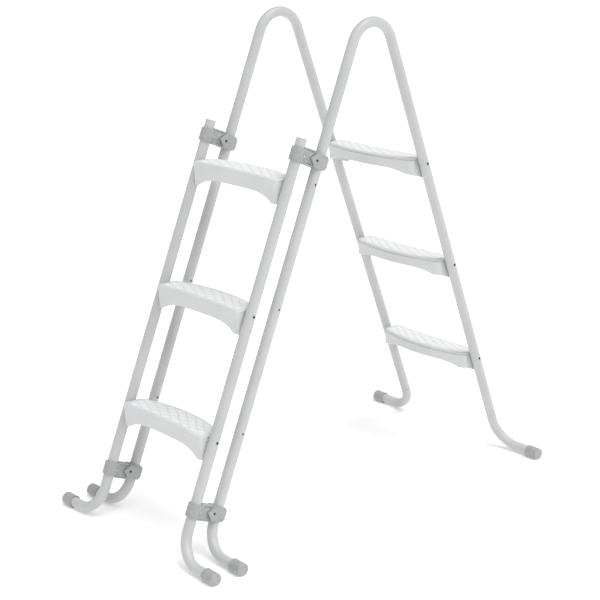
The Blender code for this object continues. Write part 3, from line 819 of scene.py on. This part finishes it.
def socket_bolt(name, material):
    """Socket-head bolt of a collar, about the bolt's own line."""
    seat = COUNTERBORE_FLOOR + FIT_GAP
    tip = -(NUT_POCKET_FLOOR + NUT_HEIGHT + COLLAR_BOLT_TAIL)
    top = seat + COLLAR_BOLT_HEAD_HEIGHT
    rim = BOLT_RIM
    bm = bmesh.new()
    profile = threaded(tip, seat, COLLAR_BOLT_RADIUS, THREAD_PITCH / 2)
    profile.append((seat, COLLAR_BOLT_HEAD))
    profile += arc((top - rim, COLLAR_BOLT_HEAD - rim), rim, 90, 0, SMALL_ARC_STEPS)
    turned(bm, Vector(), X_AXIS, profile, SCREW_SIDES)
    bolt = to_object(name, bm, material, FASTENER_SHARP)
    socket = bmesh.new()
    floor = seat + COLLAR_BOLT_HEAD_HEIGHT * SOCKET_FLOOR
    solid_loft(socket, [hexagon(X_AXIS * x, BOLT_SOCKET) for x in (floor, top + OVERSHOOT)])
    carve(bolt, socket)
    return bolt


def hexagon_nut(name, material):
    """Chamfered nut on the back of a collar, about the bolt's own line."""
    low = -(NUT_POCKET_FLOOR + FIT_GAP)
    high = low - NUT_HEIGHT
    corner = NUT_FLATS / 2 / math.cos(math.pi / 6)
    cut_back = corner - NUT_FLATS / 2
    bm = bmesh.new()
    solid_loft(bm, [hexagon(X_AXIS * x, NUT_FLATS / 2) for x in (low, high)])
    nut = to_object(name, bm, material, NUT_SHARP)
    barrel = bmesh.new()
    turned(barrel, Vector(), -X_AXIS,
           [(-low, NUT_FLATS / 2), (-low + cut_back / 2, corner), (-high - cut_back / 2, corner),
            (-high, NUT_FLATS / 2)])
    carve(nut, barrel, "INTERSECT")
    hole = bmesh.new()
    flare = COLLAR_BOLT_HOLE + cut_back / 2
    turned(hole, Vector(), -X_AXIS,
           [(-low - OVERSHOOT, flare), (-low, flare), (-low + cut_back / 2, COLLAR_BOLT_HOLE),
            (-high - cut_back / 2, COLLAR_BOLT_HOLE), (-high, flare), (-high + OVERSHOOT, flare)])
    carve(nut, hole)
    return nut


# ---- docking brackets ---------------------------------------------------------------
# A bracket is modelled about the main leg's axis, with +Z up the leg, -Y towards the
# removable tube, and +X the face that carries the screw heads.  The loose side of the
# pocket faces the ladder's middle: down on the top brackets, up on the bottom ones.
def loose_side(level):
    return -1 if level == "top" else 1


def put_bracket(obj, node, side, level, offset=Vector()):
    """Places a piece built about a bracket's origin; offset is in the bracket's frame."""
    leg = Leg(side, "outer")
    place = leg.along(BRACKET_HEIGHTS[level]) - leg.out * offset.y + X_AXIS * offset.x
    stand_in(obj, node, place, lean=-leg.lean)


def pocket_outline(level):
    """(y, z) outline of the sleeve's web, with its arrow-shaped pocket."""
    loose = loose_side(level)
    mouth = -(NOSE_ROOT + POCKET_GAP)
    far = -REMOVABLE_OFFSET
    shoulder = far + BORE
    tight_arm = [(far, -loose * BOSS_HALF_HEIGHT), (shoulder, -loose * WEB_TIGHT_HEIGHT),
                 (mouth - WEB_CHAMFER, -loose * WEB_TIGHT_HEIGHT),
                 (mouth, -loose * (WEB_TIGHT_HEIGHT - WEB_CHAMFER))]
    apex = [(-(NOSE_TIP + POCKET_GAP), 0.0)]
    loose_arm = [(mouth, loose * (WEB_LOOSE_HEIGHT - WEB_CHAMFER)),
                 (mouth - WEB_CHAMFER, loose * WEB_LOOSE_HEIGHT),
                 (shoulder, loose * WEB_LOOSE_HEIGHT), (far, loose * BOSS_HALF_HEIGHT)]
    return tight_arm + apex + loose_arm


def flared_bore(bm, start, axis, length, radius, sides=TUBE_SIDES):
    """A bore's cutter that also breaks the edges at both of its mouths."""
    lip = BORE_LIP
    profile = [(-OVERSHOOT, radius + lip), (0.0, radius + lip), (lip, radius),
               (length - lip, radius), (length, radius + lip), (length + OVERSHOOT, radius + lip)]
    turned(bm, start, axis, profile, sides)


def web_panels(bm, level):
    """Shallow panels in both faces of the web, each side of its middle rib."""
    loose = loose_side(level)
    near = -REMOVABLE_OFFSET + BOSS_RADIUS - PANEL_RIM / 2
    apex = -(NOSE_TIP + POCKET_GAP) - PANEL_RIM * PANEL_APEX
    mouth = -(NOSE_ROOT + POCKET_GAP) - PANEL_RIM * PANEL_MOUTH
    for towards, height in ((-loose, WEB_TIGHT_HEIGHT), (loose, WEB_LOOSE_HEIGHT)):
        outline = [(near, towards * PANEL_SPINE), (apex, towards * PANEL_SPINE),
                   (mouth, towards * (height - PANEL_RIM)), (near, towards * (height - PANEL_RIM))]
        prism(bm, outline, WEB_FRONT - PANEL_DEPTH, WEB_FRONT + OVERSHOOT)
        prism(bm, outline, -WEB_BACK - OVERSHOOT, -WEB_BACK + PANEL_DEPTH)


def sleeve_pattern(level, material):
    """Sleeve on the removable tube, with a web that takes the collar's nose."""
    axis = Vector((0, -REMOVABLE_OFFSET, 0))
    web = bmesh.new()
    prism(web, pocket_outline(level), -WEB_BACK, WEB_FRONT)
    sleeve = to_object(f"sleeve_pattern_{level}", web, material)
    soften(sleeve, BRACKET_ROUND)
    panels = bmesh.new()
    web_panels(panels, level)
    carve(sleeve, panels)
    boss = bmesh.new()
    low, high = -BOSS_HALF_HEIGHT, BOSS_HALF_HEIGHT
    edge = BOSS_ROUND
    profile = arc((low + edge, BOSS_RADIUS - edge), edge, 180, 90, SMALL_ARC_STEPS)
    profile += arc((high - edge, BOSS_RADIUS - edge), edge, 90, 0, SMALL_ARC_STEPS)
    turned(boss, axis, Z_AXIS, profile)
    carve(sleeve, boss, "UNION")
    pad = bmesh.new()
    screw_at = axis + Y_AXIS * SLEEVE_SCREW_OFFSET
    seat = SLEEVE_SCREW_SEAT
    edge = PAD_ROUND
    pad_profile = [(0.0, SLEEVE_SCREW_PAD)]
    pad_profile += arc((seat - edge, SLEEVE_SCREW_PAD - edge), edge, 90, 0, SMALL_ARC_STEPS)
    turned(pad, screw_at, X_AXIS, pad_profile)
    carve(sleeve, pad, "UNION")
    bore = bmesh.new()
    flared_bore(bore, axis - Z_AXIS * BOSS_HALF_HEIGHT, Z_AXIS, 2 * BOSS_HALF_HEIGHT, BORE)
    carve(sleeve, bore)
    holes = bmesh.new()
    rod(holes, screw_at + X_AXIS * SLEEVE_SCREW_END, X_AXIS, seat, SLEEVE_SCREW_HOLE, HOLE_SIDES)
    clear = TONGUE_CLEARANCE
    box(holes, (TONGUE_SIDES[0] - clear, -TONGUE[1] - clear, -TONGUE_HALF_HEIGHT - clear),
        (TONGUE_SIDES[1] + clear, -TONGUE[0], TONGUE_HALF_HEIGHT + clear))
    carve(sleeve, holes)
    return sleeve


def collar_outline(level):
    """(y, z) outline of the collar: chamfered behind the leg, a nose ahead of it."""
    loose = loose_side(level)
    high = COLLAR_HALF_HEIGHT
    slack = POCKET_WIDE_GAP - POCKET_GAP
    return [(-NOSE_TIP, -loose * NOSE_LIFT),
            (-NOSE_ROOT, -loose * high),
            (COLLAR_BACK - COLLAR_CHAMFER, -loose * high),
            (COLLAR_BACK, -loose * (high - COLLAR_CHAMFER)),
            (COLLAR_BACK, loose * (high - COLLAR_CHAMFER)),
            (COLLAR_BACK - COLLAR_CHAMFER, loose * high),
            (-NOSE_ROOT + slack, loose * high)]


def collar_pattern(level, face, material):
    """One half of the split collar; face is +1 for the half that carries the bolt head."""
    bm = bmesh.new()
    low, high = sorted((face * COLLAR_SPLIT, face * COLLAR_HALF_DEPTH))
    prism(bm, collar_outline(level), low, high)
    collar = to_object(f"collar_pattern_{level}_{face}", bm, material)
    soften(collar, BRACKET_ROUND)
    bore = bmesh.new()
    flared_bore(bore, -Z_AXIS * COLLAR_HALF_HEIGHT, Z_AXIS, 2 * COLLAR_HALF_HEIGHT, BORE)
    carve(collar, bore)
    bolt_line = -Y_AXIS * COLLAR_BOLT_AT
    hole = bmesh.new()
    if face > 0:
        lip = BORE_LIP
        turned(hole, bolt_line, X_AXIS,
               [(-OVERSHOOT, COLLAR_BOLT_HOLE), (COUNTERBORE_FLOOR, COLLAR_BOLT_HOLE),
                (COUNTERBORE_FLOOR, COUNTERBORE), (COLLAR_HALF_DEPTH - lip, COUNTERBORE),
                (COLLAR_HALF_DEPTH, COUNTERBORE + lip),
                (COLLAR_HALF_DEPTH + OVERSHOOT, COUNTERBORE + lip)])
    else:
        rod(hole, bolt_line, -X_AXIS, NUT_POCKET_FLOOR + NUT_HEIGHT, COLLAR_BOLT_HOLE, HOLE_SIDES)
        nut_pocket = bmesh.new()
        solid_loft(nut_pocket, [hexagon(bolt_line - X_AXIS * depth, NUT_FLATS / 2 + FIT_GAP)
                                for depth in (NUT_POCKET_FLOOR, COLLAR_HALF_DEPTH + OVERSHOOT)])
        carve(collar, nut_pocket)
        tongue = bmesh.new()
        box(tongue, (TONGUE_SIDES[0], -TONGUE[1], -TONGUE_HALF_HEIGHT),
            (TONGUE_SIDES[1], -TONGUE[0], TONGUE_HALF_HEIGHT))
        carve(collar, tongue, "UNION")
    carve(collar, hole)
    return collar


def make_brackets(materials):
    bolt = socket_bolt("bolt_pattern", materials["screw"])
    nut = hexagon_nut("nut_pattern", materials["zinc"])
    sleeve_screw = cross_screw("sleeve_screw_pattern", SLEEVE_SCREW_END,
                               SLEEVE_SCREW_SEAT + FIT_GAP, SLEEVE_SCREW_RADIUS,
                               SLEEVE_SCREW_DOME, SLEEVE_SCREW_HEAD, materials["zinc"])
    bolt_offset = Vector((0, -COLLAR_BOLT_AT, 0))
    screw_offset = Vector((0, -REMOVABLE_OFFSET + SLEEVE_SCREW_OFFSET, 0))
    patterns = [bolt, nut, sleeve_screw]
    for level in BRACKET_HEIGHTS:
        sleeve = sleeve_pattern(level, materials["grey"])
        front = collar_pattern(level, 1, materials["grey"])
        back = collar_pattern(level, -1, materials["grey"])
        patterns += [sleeve, front, back]
        fittings = (("bracket_sleeve", sleeve, "grey_plastic", Vector()),
                    ("collar_front", front, "grey_plastic", Vector()),
                    ("collar_back", back, "grey_plastic", Vector()),
                    ("collar_bolt", bolt, "dark_screw", bolt_offset),
                    ("collar_nut", nut, "zinc_steel", bolt_offset),
                    ("sleeve_screw", sleeve_screw, "zinc_steel", screw_offset))
        for side in SIDES:
            for family, pattern, slot_name, offset in fittings:
                node = f"{family}_{level}_{side}"
                piece = copy_of(pattern, finished(node))
                put_bracket(piece, node, side, level, offset)
    for pattern in patterns:
        bpy.data.objects.remove(pattern, do_unlink=True)


# ---- materials ----------------------------------------------------------------------
class Finish:
    """A Principled material whose colour, roughness and bump come from its nodes."""

    def __init__(self, name):
        self.material = bpy.data.materials.new(name)
        self.material.use_nodes = True
        self.tree = self.material.node_tree
        self.shader = self.tree.nodes["Principled BSDF"]
        self.where = self.add("ShaderNodeTexCoord").outputs["Object"]

    def add(self, kind):
        return self.tree.nodes.new(kind)

    def join(self, source, target):
        self.tree.links.new(source, target)

    def noise(self, scale, detail, stretch=None):
        """Noise over the piece; stretch squeezes it along an axis."""
        node = self.add("ShaderNodeTexNoise")
        node.inputs["Scale"].default_value = scale
        node.inputs["Detail"].default_value = detail
        where = self.where
        if stretch:
            mapping = self.add("ShaderNodeMapping")
            mapping.inputs["Scale"].default_value = stretch
            self.join(self.where, mapping.inputs["Vector"])
            where = mapping.outputs["Vector"]
        self.join(where, node.inputs["Vector"])
        return node.outputs["Fac"]

    def tone(self, scale, detail, dark, light, span=(0.35, 0.65)):
        """A colour that wanders between two, over the noise values that span holds."""
        ramp = self.add("ShaderNodeValToRGB")
        for element, place, colour in zip(ramp.color_ramp.elements, span, (dark, light)):
            element.position = place
            element.color = (*colour, 1.0)
        self.join(self.noise(scale, detail), ramp.inputs["Fac"])
        return ramp.outputs["Color"]

    def turning(self, value, base, other, low, high):
        """The base colour, turning to the other one as a value goes from low to high."""
        mask = self.add("ShaderNodeMapRange")
        mask.inputs["From Min"].default_value = low
        mask.inputs["From Max"].default_value = high
        self.join(value, mask.inputs["Value"])
        blend = self.add("ShaderNodeMix")
        blend.data_type = "RGBA"
        self.join(mask.outputs["Result"], blend.inputs["Factor"])
        self.join(base, blend.inputs["A"])
        blend.inputs["B"].default_value = (*other, 1.0)
        return blend.outputs["Result"]

    def painted_edge_highlight(self, base, highlight_colour, low, high):
        """Base colour that turns to a painted highlight colour along convex edges."""
        pointiness = self.add("ShaderNodeNewGeometry").outputs["Pointiness"]
        return self.turning(pointiness, base, highlight_colour, low, high)

    def painted_top_highlight(self, base, highlight_colour, low, high):
        """Base colour that turns to a painted highlight colour from a low to a high z of the piece.
        """
        split = self.add("ShaderNodeSeparateXYZ")
        self.join(self.where, split.inputs["Vector"])
        return self.turning(split.outputs["Z"], base, highlight_colour, low, high)

    def colour(self, source):
        self.join(source, self.shader.inputs["Base Color"])

    def gloss(self, scale, low, high, detail=3.0, stretch=None):
        """Roughness that wanders between low and high."""
        spread = self.add("ShaderNodeMapRange")
        for name, value in zip(("From Min", "From Max", "To Min", "To Max"), (0.3, 0.7, low, high)):
            spread.inputs[name].default_value = value
        self.join(self.noise(scale, detail, stretch), spread.inputs["Value"])
        self.join(spread.outputs["Result"], self.shader.inputs["Roughness"])

    def grain(self, scale, depth, strength, detail=2.0, stretch=None):
        """Fine unevenness of the surface, added to what is there already."""
        bump = self.add("ShaderNodeBump")
        bump.inputs["Strength"].default_value = strength
        bump.inputs["Distance"].default_value = depth
        self.join(self.noise(scale, detail, stretch), bump.inputs["Height"])
        normal = self.shader.inputs["Normal"]
        if normal.is_linked:
            self.join(normal.links[0].from_socket, bump.inputs["Normal"])
        self.join(bump.outputs["Normal"], normal)

    def set(self, name, value):
        self.shader.inputs[name].default_value = value


def grey(level, warm=0.0):
    """A near-neutral linear colour; warm above 0 leans to yellow, below to blue."""
    return (level * (1 + warm), level, level * (1 - warm))


def powder_coat():
    """Baked powder coat: orange peel, and a faint mottle in its tone and gloss."""
    finish = Finish("powder_coat")
    finish.colour(finish.tone(scale=7.0, detail=4.0, dark=grey(0.53, -0.008),
                              light=grey(0.57, -0.006)))
    finish.gloss(scale=60.0, low=0.34, high=0.46, detail=2.0)
    finish.grain(scale=420.0, depth=0.0004, strength=0.22, detail=3.0)
    finish.grain(scale=55.0, depth=0.0012, strength=0.08)
    return finish.material


def step_plastic():
    """White moulded plastic with a fine grain; the pads' tops are painted brighter as a highlight.
    """
    finish = Finish("step_plastic")
    white = finish.tone(scale=9.0, detail=5.0, dark=grey(0.65, -0.008), light=grey(0.69, -0.006))
    # painted highlight: the raised pads' tops are coloured brighter than the grooves between them
    finish.colour(finish.painted_top_highlight(white, grey(0.84, -0.006),
                                     low=PAD_HEIGHT * 0.1, high=PAD_HEIGHT * 0.9))
    finish.gloss(scale=120.0, low=0.40, high=0.56)
    finish.grain(scale=900.0, depth=0.0003, strength=0.30, detail=3.0)
    finish.grain(scale=30.0, depth=0.0015, strength=0.10)
    return finish.material


def grey_plastic():
    """Grey moulded plastic: mottled, with a coarser grain and a painted highlight along its edges.
    """
    finish = Finish("grey_plastic")
    mottle = finish.tone(scale=110.0, detail=5.0, dark=grey(0.36, -0.01), light=grey(0.41, -0.01))
    # painted highlight: lighter along convex edges
    finish.colour(finish.painted_edge_highlight(mottle, grey(0.52, -0.01), low=0.54, high=0.66))
    finish.gloss(scale=180.0, low=0.42, high=0.60)
    finish.grain(scale=700.0, depth=0.0003, strength=0.35, detail=3.0)
    finish.grain(scale=70.0, depth=0.0008, strength=0.12)
    return finish.material


def dark_screw():
    """Black-coated steel with a painted highlight along its edges."""
    finish = Finish("dark_screw")
    black = finish.tone(scale=300.0, detail=4.0, dark=grey(0.018), light=grey(0.035))
    # painted highlight: lighter along convex edges
    finish.colour(finish.painted_edge_highlight(black, grey(0.12), low=0.56, high=0.70))
    finish.gloss(scale=900.0, low=0.35, high=0.55)
    finish.grain(scale=1500.0, depth=0.0001, strength=0.30)
    finish.set("Metallic", 0.5)
    return finish.material


def zinc_steel():
    """Zinc-plated steel with a fine turned grain, which runs across its X axis."""
    finish = Finish("zinc_steel")
    turned_grain = (6.0, 1.0, 1.0)
    finish.colour(finish.tone(scale=260.0, detail=4.0, dark=grey(0.50, -0.01),
                              light=grey(0.66, 0.01)))
    finish.gloss(scale=800.0, low=0.26, high=0.44, stretch=turned_grain)
    finish.grain(scale=1200.0, depth=0.0001, strength=0.25, stretch=turned_grain)
    finish.set("Metallic", 1.0)
    return finish.material


def floor_paint():
    """Matt white studio floor with a faint glow of its own."""
    finish = Finish("floor_paint")
    finish.colour(finish.tone(scale=0.8, detail=2.0, dark=grey(0.93), light=grey(0.95),
                              span=(0.3, 0.7)))
    finish.set("Roughness", 0.9)
    finish.set("Specular IOR Level", 0.1)
    finish.set("Emission Color", (1.0, 1.0, 1.0, 1.0))
    finish.set("Emission Strength", FLOOR_GLOW)
    return finish.material


# ---- floor, light and camera --------------------------------------------------------
def make_floor():
    bm = bmesh.new()
    half = FLOOR_HALF
    corners = [bm.verts.new((x * half, y * half, 0.0))
               for x, y in ((-1, -1), (1, -1), (1, 1), (-1, 1))]
    bm.faces.new(corners)
    to_object("studio_floor", bm, floor_paint())


def add_soft_sun(name, towards, spread, strength):
    """A wide soft light that falls evenly over the floor and the ladder."""
    light = bpy.data.lights.new(name, "SUN")
    light.angle = spread
    light.energy = strength
    obj = bpy.data.objects.new(name, light)
    obj.rotation_euler = Vector(towards).to_track_quat("Z", "Y").to_euler()
    bpy.context.scene.collection.objects.link(obj)


def make_light():
    world = bpy.data.worlds.new("studio")
    world.use_nodes = True
    background = world.node_tree.nodes["Background"]
    background.inputs["Color"].default_value = (1.0, 1.0, 1.0, 1.0)
    background.inputs["Strength"].default_value = WORLD_STRENGTH
    bpy.context.scene.world = world
    add_soft_sun("key_light", KEY_FROM, KEY_SPREAD, KEY_STRENGTH)


def make_camera():
    lens = bpy.data.cameras.new("camera")
    lens.lens = CAMERA_LENS
    lens.clip_end = CAMERA_REACH
    camera = bpy.data.objects.new("camera", lens)
    camera.location = CAMERA_PLACE
    camera.rotation_euler = (CAMERA_TILT, 0.0, CAMERA_TURN)
    bpy.context.scene.collection.objects.link(camera)
    bpy.context.scene.camera = camera


# ---- the script ---------------------------------------------------------------------
for leftover in list(bpy.data.objects):
    bpy.data.objects.remove(leftover, do_unlink=True)
bpy.context.scene.view_settings.view_transform = "Standard"

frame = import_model()
find_apex()
make_camera()
make_floor()
make_light()

finishes = {"tube": powder_coat(), "step": step_plastic(),
            "grey": grey_plastic(), "screw": dark_screw(), "zinc": zinc_steel()}
for side_name in SIDES:
    make_handrail(side_name, finishes["tube"])
    make_removable_tube(side_name, finishes["tube"])
    make_plug(side_name, finishes["tube"])
    for leg_kind in ("outer", "removable", "inner"):
        make_foot_cap(side_name, leg_kind, finishes["grey"])
make_steps(finishes["step"])
make_step_screws(finishes["screw"])
make_brackets(finishes)
